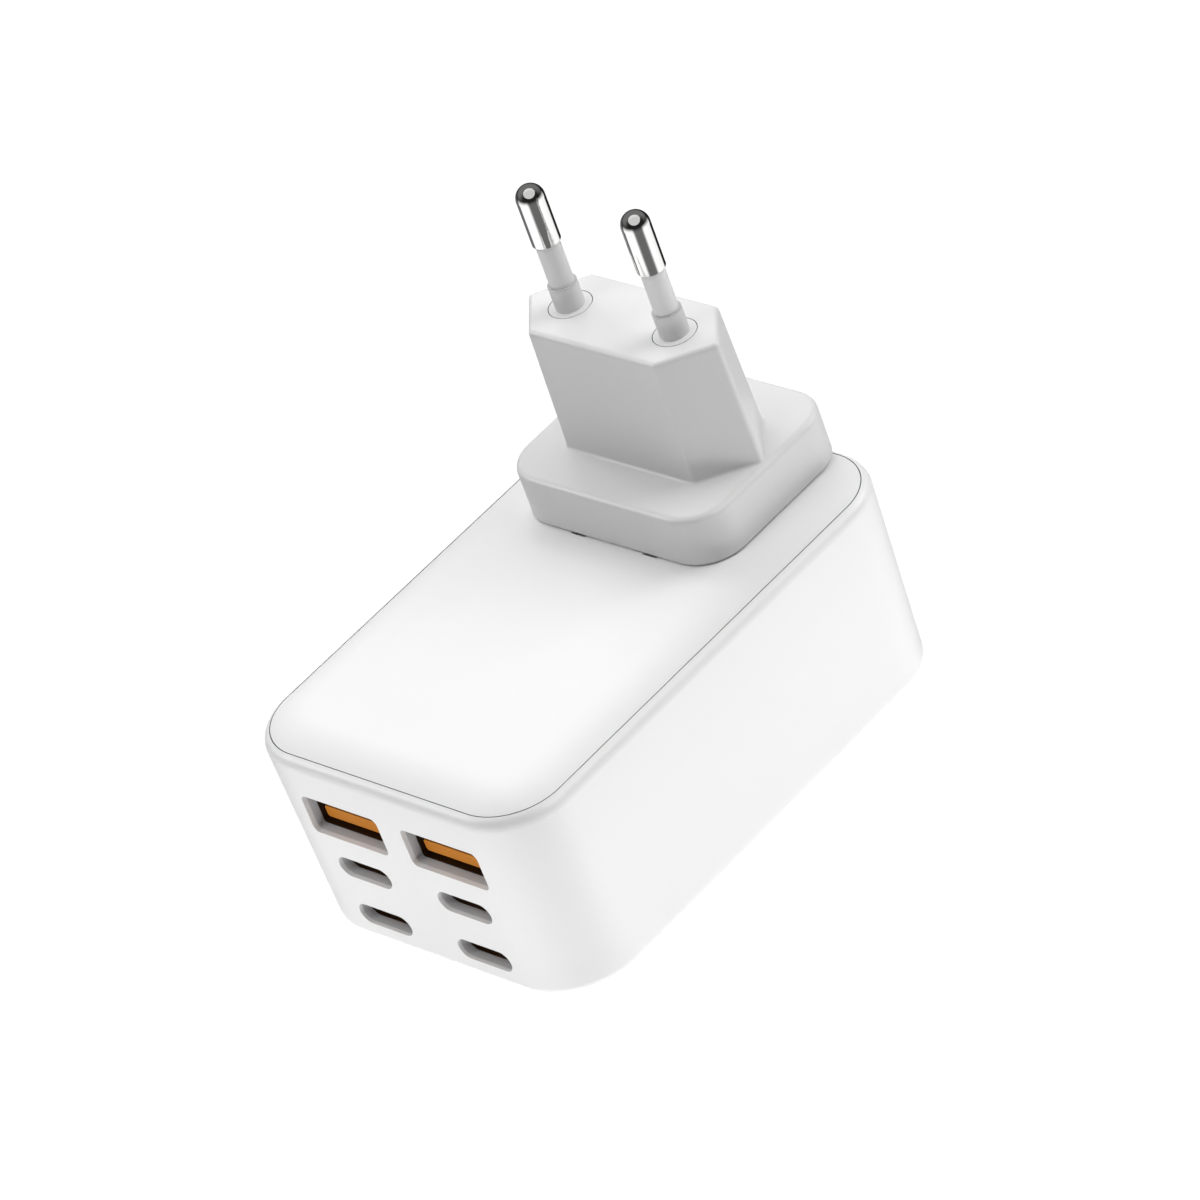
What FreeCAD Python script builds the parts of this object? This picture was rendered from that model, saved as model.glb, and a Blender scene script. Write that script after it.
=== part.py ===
import FreeCAD, Part
import math
import os
from FreeCAD import Vector

# A wall charger with six ports and a slide-on two-pin plug adapter, in millimetres.
# It lies on its flat back: +Z points to the plug pins, -Y to the ports, X runs across.
# The origin is the centre of the back face.

# Housing
housing_width = 52.45
housing_length = 79.05
housing_height = 30.58       # back face to the level where the rim's round would end
corner_radius = 9.9          # vertical corners at the rim
corner_growth = 0.7          # how much rounder they are at the back
side_draft = 0.42            # each side leans in by this much towards the back
wall = 2.0
floor_wall = 2.0
back_edge_round = 1.1
rim_width = 1.125            # rim left standing outside the cover
rim_round = 1.9              # wider than the rim, so the rim slopes all the way

# Cover
seam_gap = 0.1
cover_sink = 0.18            # cover's edge below housing_height, level with the sloping rim
cover_edge = 1.6             # height of the cover's edge above the ledge that it lies on
pillow_rise = 1.5            # the cover swells above its edge by this much
pillow_radius = 12.0
cover_wall = 2.0
skirt_wall = 1.0
skirt_depth = 2.5
skirt_gap = 0.15

# Dock on the cover and the grooves that the adapter slides in
plug_from_rear = 14.525      # rear of the housing to the plane of the two pins
shadow_gap = 0.3             # between the cover and the adapter's foot
rail_spacing = 13.0
rail_head = 2.8
rail_neck = 2.4
rail_depth = 1.0             # how far the rails reach into the cover
rail_clearance = 0.1
groove_lead = 0.1            # groove front ahead of the adapter's front edge
rail_setback = 4.0           # rail front behind the adapter's front edge
rail_end = 3.0               # rail rear ahead of the adapter's rear edge
dock_pad_width = 2.2
dock_pad_length = 6.2
dock_pad_gap = 0.1
dock_flange = 0.9            # flange of a dock contact under the cover
dock_flange_thick = 0.8
dock_tail_length = 3.0
dock_tail_wide = 3.0
dock_tail_thick = 1.0
wire_radius = 0.8
wire_bend = 2.5
wire_from_edge = 3.2

# Plug adapter
adapter_width = 37.0
adapter_depth = 28.66
adapter_height = 7.58
adapter_corner = 6.25
adapter_edge_round = 1.0
adapter_wall = 1.8
plate_thick = 2.0
plate_ledge = 1.0
plate_gap = 0.1
hex_height = 19.4
hex_length = 34.6            # across the points, at the plug's face
hex_width = 13.4
hex_flat = 22.7
hex_draft = 0.47             # growth of each side from the face down to the foot
hex_wall = 1.6
hex_edge_round = 0.75
hex_foot_round = 0.5
face_wall = 2.5

# Pins
pin_spacing = 18.9
pin_length = 19.5
pin_radius = 2.0
pin_metal = 8.95             # bare metal, tip included
pin_shoulder = 0.25
pin_core = 1.3
sleeve_radius = 1.7
collar_radius = 2.05
collar_height = 3.7
insert_radius = 3.0
insert_seam = 0.1
insert_flange_radius = 3.7
insert_flange = 1.2
carrier_thick = 2.5
carrier_gap = 0.15
pin_head_radius = 2.2
pin_head = 1.0
bore_gap = 0.03
contact_thick = 0.5
contact_width = 2.0
contact_button = 3.0
contact_air = 0.05

# Ports
port_spacing = 18.4
port_row_drop = 9.53         # housing_height down to the middle of the upper row
port_row_lift = 4.3          # back face up to the middle of the lowest row
port_recess = 0.9            # metal shells behind the housing's end face
connector_length = 10.85
usb_a_window = (14.0, 6.35, 1.0)
usb_a_shell_corner = 0.5
usb_a_mouth = (12.5, 5.12, 0.5)
usb_a_tongue = (11.4, 1.84, 0.4)
usb_a_tongue_lift = 0.85     # underside of the tongue above the lower side of the mouth
usb_a_contact = (1.0, 0.25)
usb_a_contact_pitch = 2.3
usb_c_window = (9.7, 3.4)
usb_c_mouth = (8.34, 2.56)
usb_c_tongue = (6.69, 0.7, 0.3)
shell_sheet = 0.3
shell_gap = 0.1              # round each shell, in the housing's wall
insulator_depth = 2.4        # closed back of an insulator
insulator_gap = 0.05
lining_setback = 1.2         # insulator's lining behind the shell's front edge
lining_edge = 0.1            # thickness of the lining at its front
funnel_depth = 3.0           # the lining narrows to the mouth over this depth
tongue_setback_a = 1.25
tongue_setback_c = 1.9
contact_setback = 0.8

# Boards
board_thick = 1.6
board_gap = 0.35
skirt_clearance = 0.5        # port board below the cover's skirt
slot_rib = 1.2
slot_reach = 1.6
slot_gap = 0.1
sheet_thick = 0.25
boss_radius = 1.8
boss_height = 2.5
boss_gap = 0.3
boss_from_edge = 5.5
boss_front = 8.0             # from the port board
boss_rear = 9.0              # from the rear wall
chip_size = (5.0, 4.0, 1.3)

# Parts on the main board
part_gap = 0.9               # between neighbouring parts
edge_gap = 1.3               # between a part and the edge of its board
core_width = 20.0
core_height = 17.0
core_share = 0.2227          # depth of the core, in board lengths
core_leg = 6.0
core_window = (4.6, 11.0)
winding_build = 4.3
winding_gap = 0.2
bulk_radius = 6.0
bulk_headroom = 0.2          # bulk capacitors below the cover's skirt
can_groove = 0.6
x_capacitor_share = 0.3628   # width of this capacitor, in board widths
x_capacitor_depth = 8.0
x_capacitor_height = 13.0
x_capacitor_bevel = 0.6
y_capacitor_radius = 4.0
y_capacitor_thick = 3.5
bridge_size = (14.0, 3.5, 10.0)
choke_share = 0.0986         # outer radius of the choke's ring, in board lengths
choke_ring = 2.6
choke_core_height = 5.0
choke_wire = 1.1
choke_wrap = 130.0           # degrees of the ring under each winding
fuse_radius = 1.8
fuse_cap_radius = 2.1
fuse_length = 10.0
fuse_cap = 2.2
spreader_size = (1.0, 25.0, 16.0)
transistor_size = (2.0, 6.5, 9.0)
output_radius = 3.15
output_height = 9.0
output_count = 4
inductor_size = (9.0, 9.0, 6.0)
inductor_round = 1.5

# Places that follow from the sizes above
front = -housing_length / 2
rear = housing_length / 2
edge_z = housing_height - cover_sink
ledge_z = edge_z - cover_edge
cover_top = edge_z + pillow_rise
underside_z = cover_top - cover_wall
foot_z = cover_top + shadow_gap
shoulder_z = foot_z + adapter_height
face_z = shoulder_z + hex_height
plug_y = rear - plug_from_rear
adapter_front = plug_y - adapter_depth / 2
adapter_rear = plug_y + adapter_depth / 2
rail_front_y = adapter_front + rail_setback
rail_rear_y = adapter_rear - rail_end
groove_front_y = adapter_front - groove_lead
groove_end_y = rear - rim_width - seam_gap
mouth_y = front + port_recess
port_board_y = mouth_y + connector_length
board_front_y = port_board_y + board_thick
board_z = floor_wall + boss_height
board_top = board_z + board_thick
board_half = housing_width / 2 - side_draft - wall - board_gap
port_row_top = housing_height - port_row_drop
port_row_pitch = (port_row_top - port_row_lift) / 2
port_board_top = ledge_z - skirt_depth - skirt_clearance
usb_a_inside = (usb_a_window[0], usb_a_window[1], usb_a_shell_corner)
usb_c_inside = (usb_c_window[0], usb_c_window[1], usb_c_window[1] / 2)
usb_c_throat = (usb_c_mouth[0], usb_c_mouth[1], usb_c_mouth[1] / 2)
sides = {"left": -1, "right": 1}

# Sizes of the board parts that follow the housing
board_length = rear - side_draft - wall - board_gap - board_front_y
core_size = (core_width, core_share * board_length, core_height)
bulk_height = ledge_z - skirt_depth - bulk_headroom - board_top
x_capacitor_size = (x_capacitor_share * 2 * board_half, x_capacitor_depth, x_capacitor_height)
choke_core_radii = (choke_share * board_length - choke_ring, choke_share * board_length)

# Rows of parts, each packed behind the one before it
output_y = board_front_y + chip_size[2] + part_gap + output_radius
row_end = max(output_y + output_radius, output_y - output_radius + inductor_size[1]) + part_gap
winding_depth = core_size[1] + 2 * winding_build
core_y = row_end + winding_depth / 2
bridge_y = core_y + (winding_depth + transistor_size[1]) / 2 + part_gap
choke_radius = choke_core_radii[1] + choke_wire
choke_y = bridge_y + transistor_size[1] / 2 + part_gap + choke_radius
bulk_rows = [row_end + bulk_radius + index * (2 * bulk_radius + part_gap) for index in range(2)]
x_capacitor_y = bulk_rows[-1] + bulk_radius + part_gap + x_capacitor_size[1] / 2
fuse_y = x_capacitor_y + x_capacitor_size[1] / 2 + part_gap + fuse_cap_radius

# Columns of parts, from the board's right-hand edge and from its left-hand edge
spreader_x = board_half - edge_gap - spreader_size[0] / 2
transistor_x = spreader_x - (spreader_size[0] + transistor_size[0]) / 2
bridge_x = transistor_x - (transistor_size[0] + bridge_size[0]) / 2 - part_gap
controller_x = bridge_x - (bridge_size[0] + chip_size[1]) / 2 - part_gap
core_x = spreader_x - (spreader_size[0] + core_size[0]) / 2 - part_gap
y_capacitor_x = core_x - (core_size[0] + y_capacitor_thick) / 2 - part_gap
choke_x = board_half - edge_gap - choke_radius
inductor_x = board_half - edge_gap - inductor_size[0] / 2
left_edge = edge_gap - board_half


def flat(z, centre_y=0.0, centre_x=0.0):
    """Drawing plane parallel to the back face, at height z."""
    return lambda u, v: Vector(centre_x + u, centre_y + v, z)


def upright(y, centre_x, centre_z):
    """Drawing plane parallel to the port face, at depth y."""
    return lambda u, v: Vector(centre_x + u, y, centre_z + v)


def rounded_outline(place, width, height, radius):
    """Closed wire round a rectangle with arcs at its corners."""
    corners = ((1, 1), (-1, 1), (-1, -1), (1, -1))
    arcs = []
    for quarter, (side_u, side_v) in enumerate(corners):
        centre_u = side_u * (width / 2 - radius)
        centre_v = side_v * (height / 2 - radius)
        angles = [math.radians(90 * quarter + step) for step in (0, 45, 90)]
        arcs.append([place(centre_u + radius * math.cos(a), centre_v + radius * math.sin(a)) for a in angles])
    edges = []
    for arc, following in zip(arcs, arcs[1:] + arcs[:1]):
        edges.append(Part.Arc(*arc).toShape())
        if arc[2].distanceToPoint(following[0]) > 1e-6:
            edges.append(Part.makeLine(arc[2], following[0]))
    return Part.Wire(edges)


def prism(wire, direction):
    """Solid swept by a closed wire along a vector."""
    return Part.Face(wire).extrude(direction)


def up(height):
    return Vector(0, 0, height)


def back(depth):
    return Vector(0, depth, 0)


def loft(first, last):
    """Solid with straight sides between two outlines."""
    return Part.makeLoft([first, last], True, True)


def box(size, x, y, z):
    """Box of the given size that stands on height z, centred on x and y."""
    return Part.makeBox(*size, Vector(x - size[0] / 2, y - size[1] / 2, z))


def disc(radius, height, x, y, z):
    return Part.makeCylinder(radius, height, Vector(x, y, z))


def edges_where(shape, test):
    """Edges whose end points all pass the test."""
    return [edge for edge in shape.Edges if all(test(vertex.Point) for vertex in edge.Vertexes)]


def at_height(z):
    return lambda point: abs(point.z - z) < 1e-4


def turned(points, x, y):
    """Solid of revolution about the vertical line at x, y; points are (radius, height)."""
    wire = Part.makePolygon([Vector(x + r, y, z) for r, z in points + points[:1]])
    return Part.Face(wire).revolve(Vector(x, y, 0), Vector(0, 0, 1), 360)


def save(name, shape):
    shape.exportStep("parts/" + name + ".step")


def housing_section(z, inset):
    """Rounded outline of the drafted housing at height z, moved in from its outside."""
    depth = 1 - z / housing_height
    shrink = 2 * side_draft * depth + 2 * inset
    radius = corner_radius + corner_growth * depth - inset
    return rounded_outline(flat(z), housing_width - shrink, housing_length - shrink, radius)


def seam_outline(z, inset):
    """Outline parallel to the rim at any height."""
    shrink = 2 * inset
    return rounded_outline(flat(z), housing_width - shrink, housing_length - shrink, corner_radius - inset)


def port_places():
    """Name, centre x and centre z of every port, upper row first."""
    a_ports = []
    c_ports = []
    for side, sign in sides.items():
        x = sign * port_spacing / 2
        a_ports.append((side, x, port_row_top))
        for row, name in ((1, "upper"), (2, "lower")):
            c_ports.append((name + "_" + side, x, port_row_top - row * port_row_pitch))
    return a_ports, c_ports


def boss_places():
    """Four posts under the main board."""
    rows = (board_front_y + boss_front, rear - wall - boss_rear)
    return [(sign * (board_half - boss_from_edge), y) for sign in sides.values() for y in rows]


def housing():
    """Moulded tub: drafted walls, soft rim, ledge for the cover, port windows, ribs and posts."""
    body = loft(housing_section(0, 0), housing_section(housing_height, 0))
    body = body.makeFillet(back_edge_round, edges_where(body, at_height(0)))
    body = body.makeFillet(rim_round, edges_where(body, at_height(housing_height)))
    body = body.cut(loft(housing_section(floor_wall, wall), housing_section(housing_height + 1, wall)))
    body = body.cut(prism(seam_outline(ledge_z, rim_width), up(cover_edge + 1)))
    a_ports, c_ports = port_places()
    through = back(wall + side_draft + 2)
    kinds = ((a_ports, usb_a_inside, usb_a_window[2]), (c_ports, usb_c_inside, usb_c_inside[2]))
    for ports, inside, corner in kinds:
        width, height, radius = inside
        grow = shell_sheet + shell_gap
        for name, x, z in ports:
            window = rounded_outline(upright(front - 1, x, z), width, height, corner)
            seat_size = (width + 2 * grow, height + 2 * grow, radius + grow)
            seat = rounded_outline(upright(mouth_y, x, z), *seat_size)
            body = body.cut([prism(window, through), prism(seat, back(wall + 1))])
    root_z = floor_wall / 2
    additions = [disc(boss_radius, board_z - root_z, x, y, root_z) for x, y in boss_places()]
    rib_root = housing_width / 2 - side_draft - wall / 2
    rib_tip = housing_width / 2 - side_draft - wall - slot_reach
    for sign in sides.values():
        for y in (port_board_y - slot_gap - slot_rib / 2, board_front_y + slot_gap + slot_rib / 2):
            size = (rib_root - rib_tip, slot_rib, port_board_top - root_z)
            additions.append(box(size, sign * (rib_root + rib_tip) / 2, y, root_z))
    return body.fuse(additions).removeSplitter()


def rail_profile(x, y, grow):
    """Dovetail section of one rail under the adapter, grown all round for its groove in the cover."""
    neck = rail_neck / 2 + grow
    head = rail_head / 2 + grow
    low = cover_top - rail_depth - grow
    root = foot_z + plate_thick / 2
    points = [(-neck, root), (-neck, cover_top), (-head, low), (head, low), (neck, cover_top), (neck, root)]
    return Part.makePolygon([Vector(x + u, y, z) for u, z in points + points[:1]])


def rails(start, end, grow):
    """Both rails, or the grooves for them, between two depths."""
    profiles = [rail_profile(sign * rail_spacing / 2, start, grow) for sign in sides.values()]
    return [prism(profile, back(end - start)) for profile in profiles]


def cover():
    """Inlaid panel: pillowed top, locating skirt, dock grooves and the two contact openings."""
    inset = rim_width + seam_gap
    swell = pillow_radius - math.sqrt(pillow_radius ** 2 - (pillow_radius - pillow_rise) ** 2)
    height = pillow_radius + 2
    block = prism(seam_outline(cover_top - height, inset - swell), up(height))
    block = block.makeFillet(pillow_radius, edges_where(block, at_height(cover_top)))
    panel = block.common(prism(seam_outline(ledge_z, inset), up(cover_top - ledge_z)))
    skirt_z = ledge_z - skirt_depth
    panel = panel.fuse(prism(housing_section(skirt_z, wall + skirt_gap), up(skirt_depth + cover_edge / 2)))
    pocket = housing_section(skirt_z, wall + skirt_gap + skirt_wall)
    panel = panel.cut(prism(pocket, up(underside_z - skirt_z)))
    panel = panel.cut(rails(groove_front_y, rear, rail_clearance)).removeSplitter()
    opening = (dock_pad_width + 2 * dock_pad_gap, dock_pad_length + 2 * dock_pad_gap, cover_wall + 1)
    for sign in sides.values():
        panel = panel.cut(box(opening, sign * pin_spacing / 2, plug_y, underside_z - 0.5))
    return panel


def dock_contact(sign):
    """Stamped contact: pad flush with the cover, flange under it and a solder tail."""
    x = sign * pin_spacing / 2
    pad = box((dock_pad_width, dock_pad_length, cover_wall), x, plug_y, underside_z)
    flange_size = (dock_pad_width + 2 * dock_flange, dock_pad_length + 2 * dock_flange, dock_flange_thick)
    flange_z = underside_z - dock_flange_thick
    flange = box(flange_size, x, plug_y, flange_z)
    tail = box((dock_tail_thick, dock_tail_wide, dock_tail_length), x, plug_y, flange_z - dock_tail_length)
    return pad.fuse([flange, tail]).removeSplitter()


def dock_wire(sign):
    """Insulated wire from a dock contact's tail over to the rear of the main board."""
    x = sign * pin_spacing / 2
    z = underside_z - dock_flange_thick - dock_tail_length + wire_radius
    start = Vector(x, plug_y + dock_tail_wide / 2, z)
    y = rear - wall - wire_from_edge
    bend_start = Vector(x, y - wire_bend, z)
    bend_end = Vector(x, y, z - wire_bend)
    corner = wire_bend * (1 - math.sqrt(0.5))
    bend = Part.Arc(bend_start, Vector(x, y - corner, z - corner), bend_end).toShape()
    drop = Part.makeLine(bend_end, Vector(x, y, board_top))
    path = Part.Wire([Part.makeLine(start, bend_start), bend, drop])
    profile = Part.Wire([Part.makeCircle(wire_radius, start, Vector(0, 1, 0))])
    return path.makePipeShell([profile], True, True)


def hexagon(z, inset):
    """Drafted outline of the plug block at height z, with every side moved in by inset."""
    grow = hex_draft * (face_z - z) / hex_height - inset
    half_length = hex_length / 2
    half_flat = hex_flat / 2
    half_width = hex_width / 2
    slant = math.hypot(half_width, half_length - half_flat)
    width = half_width + grow
    point = half_length + grow * slant / half_width
    flat_end = point - (half_length - half_flat) * width / half_width
    corners = [(point, 0), (flat_end, width), (-flat_end, width)]
    corners += [(-u, -v) for u, v in corners]
    return Part.makePolygon([Vector(u, plug_y + v, z) for u, v in corners + corners[:1]])


def adapter_outline(z, inset):
    """Rounded outline of the adapter's base, moved in from its outside."""
    width = adapter_width - 2 * inset
    depth = adapter_depth - 2 * inset
    return rounded_outline(flat(z, plug_y), width, depth, adapter_corner - inset)


def on_block_foot(point):
    """True where the plug block stands on the base, and not on the base's own rim."""
    across = abs(point.x) < hex_length / 2 + 2 * hex_draft
    along = abs(point.y - plug_y) < hex_width / 2 + 2 * hex_draft
    return across and along and abs(point.z - shoulder_z) < 1e-4


def adapter_shell():
    """Rounded base and hexagonal plug block as one hollow moulding, open below."""
    base = prism(adapter_outline(foot_z, 0), up(adapter_height))
    base = base.makeFillet(adapter_edge_round, edges_where(base, at_height(shoulder_z)))
    block = loft(hexagon(shoulder_z - adapter_wall / 2, 0), hexagon(face_z, 0))
    rounded = [edge for edge in block.Edges if max(v.Point.z for v in edge.Vertexes) > face_z - 1e-4]
    block = block.makeFillet(hex_edge_round, rounded)
    shell = base.fuse(block).removeSplitter()
    shell = shell.makeFillet(hex_foot_round, edges_where(shell, on_block_foot))
    shell = shell.cut(prism(adapter_outline(foot_z, adapter_wall), up(adapter_height - adapter_wall)))
    shell = shell.cut(prism(adapter_outline(foot_z, plate_ledge), up(plate_thick)))
    cavity_z = shoulder_z - adapter_wall - 1
    shell = shell.cut(loft(hexagon(cavity_z, hex_wall), hexagon(face_z - face_wall, hex_wall)))
    for sign in sides.values():
        x = sign * pin_spacing / 2
        hole = insert_radius + insert_seam
        shell = shell.cut(disc(hole, face_wall + 2, x, plug_y, face_z - face_wall - 1))
    return shell


def adapter_base_plate():
    """Plate that closes the adapter, with the dovetail rails under it and the contact windows."""
    plate = prism(adapter_outline(foot_z, plate_ledge + plate_gap), up(plate_thick))
    plate = plate.fuse(rails(rail_front_y, rail_rear_y, 0)).removeSplitter()
    window = (contact_width + 1, contact_button + 1, plate_thick + 2)
    for sign in sides.values():
        plate = plate.cut(box(window, sign * pin_spacing / 2, plug_y, foot_z - 1))
    return plate


def pin(sign):
    """Turned pin: bare rounded tip, shoulder, slim core under the sleeve, riveted head inside."""
    x = sign * pin_spacing / 2
    tip = face_z + pin_length
    dome_z = tip - pin_radius
    metal_z = tip - pin_metal
    head_top = face_z - face_wall - insert_flange - carrier_thick
    head_low = head_top - pin_head
    sleeve_z = metal_z - pin_shoulder
    steps = [(0, head_low), (pin_head_radius, head_low), (pin_head_radius, head_top), (pin_core, head_top),
             (pin_core, sleeve_z), (sleeve_radius, sleeve_z), (pin_radius, metal_z), (pin_radius, dome_z)]
    outline = [Vector(x + r, plug_y, z) for r, z in steps]
    diagonal = pin_radius * math.sqrt(0.5)
    dome = (outline[-1], Vector(x + diagonal, plug_y, dome_z + diagonal), Vector(x, plug_y, tip))
    edges = [Part.makeLine(a, b) for a, b in zip(outline, outline[1:])]
    edges.append(Part.Arc(*dome).toShape())
    edges.append(Part.makeLine(dome[-1], outline[0]))
    return Part.Face(Part.Wire(edges)).revolve(Vector(x, plug_y, 0), Vector(0, 0, 1), 360)


def pin_sleeve(sign):
    """Insulating sleeve between the collar and the bare metal."""
    low = face_z + collar_height
    high = face_z + pin_length - pin_metal - pin_shoulder
    bore = pin_core + bore_gap
    points = [(bore, low), (sleeve_radius, low), (sleeve_radius, high), (bore, high)]
    return turned(points, sign * pin_spacing / 2, plug_y)


def pin_insert(sign):
    """Disc flush with the plug's face, with a collar above and a flange behind the face wall."""
    low = face_z - face_wall
    bore = pin_core + bore_gap
    flange_z = low - insert_flange
    top = face_z + collar_height
    points = [(bore, flange_z), (insert_flange_radius, flange_z), (insert_flange_radius, low),
              (insert_radius, low), (insert_radius, face_z), (collar_radius, face_z),
              (collar_radius, top), (bore, top)]
    return turned(points, sign * pin_spacing / 2, plug_y)


def pin_carrier():
    """Plate inside the plug block that clamps both inserts."""
    low = face_z - face_wall - insert_flange - carrier_thick
    plate = loft(hexagon(low, hex_wall + carrier_gap), hexagon(low + carrier_thick, hex_wall + carrier_gap))
    hole = pin_core + bore_gap
    for sign in sides.values():
        plate = plate.cut(disc(hole, carrier_thick + 2, sign * pin_spacing / 2, plug_y, low - 1))
    return plate


def adapter_contact(sign):
    """Sprung strip from a pin's head down to a rounded button that meets the dock contact."""
    x = sign * pin_spacing / 2
    head_low = face_z - face_wall - insert_flange - carrier_thick - pin_head
    plate_top = foot_z + plate_thick
    reach = pin_head_radius + contact_thick
    tab = (contact_width, reach + contact_button / 2, contact_thick)
    middle_y = plug_y + (reach - contact_button / 2) / 2
    strip = [box(tab, x, middle_y, head_low - contact_thick), box(tab, x, middle_y, plate_top)]
    leg = (contact_width, contact_thick, head_low - plate_top)
    strip.append(box(leg, x, plug_y + reach - contact_thick / 2, plate_top))
    half = contact_button / 2
    low = cover_top + contact_air
    side_z = low + half / 2
    strip_z = plate_top + contact_thick / 2
    outline = ((-half, side_z), (-half, strip_z), (half, strip_z), (half, side_z))
    corners = [Vector(0, y, z) for y, z in outline]
    edges = [Part.Arc(corners[-1], Vector(0, 0, low), corners[0]).toShape()]
    edges += [Part.makeLine(a, b) for a, b in zip(corners, corners[1:])]
    button = prism(Part.Wire(edges), Vector(contact_width, 0, 0))
    button.translate(Vector(x - contact_width / 2, plug_y, 0))
    return button.fuse(strip).removeSplitter()


def port_shell(x, z, inside):
    """Straight sheet-metal shell from behind the housing's lip to the port board."""
    width, height, radius = inside
    long = back(connector_length)
    sheet = shell_sheet
    outer = rounded_outline(upright(mouth_y, x, z), width + 2 * sheet, height + 2 * sheet, radius + sheet)
    inner = rounded_outline(upright(mouth_y, x, z), *inside)
    return prism(outer, long).cut(prism(inner, long))


def port_insulator(x, z, inside, mouth, tongue, tongue_z, setback):
    """Moulded insulator: lining that narrows to the mouth, closed back and tongue."""
    lining_y = mouth_y + lining_setback
    throat_y = lining_y + funnel_depth
    block_y = port_board_y - insulator_depth
    outlines = []
    for gap in (insulator_gap, insulator_gap + lining_edge):
        width, height, radius = inside
        size = (width - 2 * gap, height - 2 * gap, radius - gap)
        outlines.append(rounded_outline(upright(lining_y, x, z), *size))
    throat = rounded_outline(upright(throat_y, x, z), *mouth)
    body = prism(outlines[0], back(port_board_y - lining_y))
    body = body.cut([loft(outlines[1], throat), prism(throat, back(block_y - throat_y))])
    tongue_y = mouth_y + setback
    bar = prism(rounded_outline(upright(tongue_y, x, tongue_z), *tongue), back(port_board_y - tongue_y))
    return body.fuse(bar).removeSplitter()


def usb_a_tongue_z(z):
    """Middle height of a tongue, which lies in the lower half of the mouth."""
    return z - usb_a_mouth[1] / 2 + usb_a_tongue_lift + usb_a_tongue[1] / 2


def usb_a_contacts(x, z):
    """Four contact strips on the tongue."""
    width, thick = usb_a_contact
    start = mouth_y + tongue_setback_a + contact_setback
    end = port_board_y - insulator_depth
    low = usb_a_tongue_z(z) + usb_a_tongue[1] / 2
    offsets = [(index - 1.5) * usb_a_contact_pitch for index in range(4)]
    strips = [box((width, end - start, thick), x + offset, (start + end) / 2, low) for offset in offsets]
    return Part.makeCompound(strips)


def port_board():
    """Upright board that carries the connectors and stands in the housing's ribs."""
    low = floor_wall + sheet_thick
    size = (2 * board_half, board_thick, port_board_top - low)
    return box(size, 0, port_board_y + board_thick / 2, low)


def port_chips():
    """One converter chip for each pair of ports, on the back of the port board."""
    width, height, thick = chip_size
    middle_z = (board_top + port_board_top) / 2
    columns = (-port_spacing / 2, 0, port_spacing / 2)
    return [box((width, thick, height), x, board_front_y + thick / 2, middle_z) for x in columns]


def rib_room(low, height):
    """Clear space round the housing's ribs, for the boards and sheets that pass them."""
    reach = slot_reach + board_gap
    size = (2 * reach, board_thick + 2 * (slot_gap + slot_rib + board_gap), height)
    x = housing_width / 2 - side_draft - wall
    return [box(size, sign * x, (port_board_y + board_front_y) / 2, low) for sign in sides.values()]


def main_board():
    """Board that fills the housing behind the port board, notched round the ribs."""
    board = prism(housing_section(board_z, wall + board_gap), up(board_thick))
    keep = (housing_width, housing_length, board_thick)
    board = board.common(box(keep, 0, board_front_y + housing_length / 2, board_z))
    return board.cut(rib_room(board_z - 1, board_thick + 2))


def insulation_sheet():
    """Sheet on the housing's floor, with holes for the posts."""
    sheet = prism(housing_section(floor_wall, wall + board_gap), up(sheet_thick))
    for x, y in boss_places():
        sheet = sheet.cut(disc(boss_radius + boss_gap, 3 * sheet_thick, x, y, floor_wall - sheet_thick))
    return sheet.cut(rib_room(floor_wall - sheet_thick, 3 * sheet_thick))


def transformer_core():
    """Ferrite core: a block with two windows beside its middle leg."""
    core = box(core_size, core_x, core_y, board_top)
    width, height = core_window
    window_z = board_top + (core_size[2] - height) / 2
    for sign in sides.values():
        window_x = core_x + sign * (core_leg + width) / 2
        core = core.cut(box((width, core_size[1] + 2, height), window_x, core_y, window_z))
    return core


def transformer_winding():
    """Taped winding round the middle leg of the core."""
    height = core_window[1] - 2 * winding_gap
    low = board_top + (core_size[2] - height) / 2
    hole = (core_leg + 2 * winding_gap, core_size[1] + 2 * winding_gap, height)
    plane = flat(low, core_y, core_x)
    outline = rounded_outline(plane, core_leg + 2 * winding_build, winding_depth, winding_build)
    return prism(outline, up(height)).cut(box(hole, core_x, core_y, low))


def radial_capacitor(x, y, radius, height):
    """Upright can with a crimp groove above its foot and a bevelled rim."""
    low = board_top + 3 * can_groove
    top = board_top + height
    narrow = radius - can_groove
    points = [(0, board_top), (radius, board_top), (radius, low), (narrow, low + can_groove),
              (radius, low + 2 * can_groove), (radius, top - can_groove), (narrow, top), (0, top)]
    return turned(points, x, y)


def bulk_capacitors():
    return [radial_capacitor(left_edge + bulk_radius, y, bulk_radius, bulk_height) for y in bulk_rows]


def output_capacitors():
    pitch = 2 * output_radius + part_gap
    columns = [left_edge + output_radius + index * pitch for index in range(output_count)]
    return [radial_capacitor(x, output_y, output_radius, output_height) for x in columns]


def x_capacitor():
    """Boxed film capacitor."""
    block = box(x_capacitor_size, left_edge + x_capacitor_size[0] / 2, x_capacitor_y, board_top)
    top = board_top + x_capacitor_size[2]
    return block.makeChamfer(x_capacitor_bevel, edges_where(block, at_height(top)))


def y_capacitor():
    """Ceramic disc standing on its edge."""
    centre = Vector(y_capacitor_x - y_capacitor_thick / 2, core_y, board_top + y_capacitor_radius)
    body = Part.makeCylinder(y_capacitor_radius, y_capacitor_thick, centre, Vector(1, 0, 0))
    return body.makeFillet(y_capacitor_thick / 4, body.Edges[:1] + body.Edges[2:])


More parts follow.
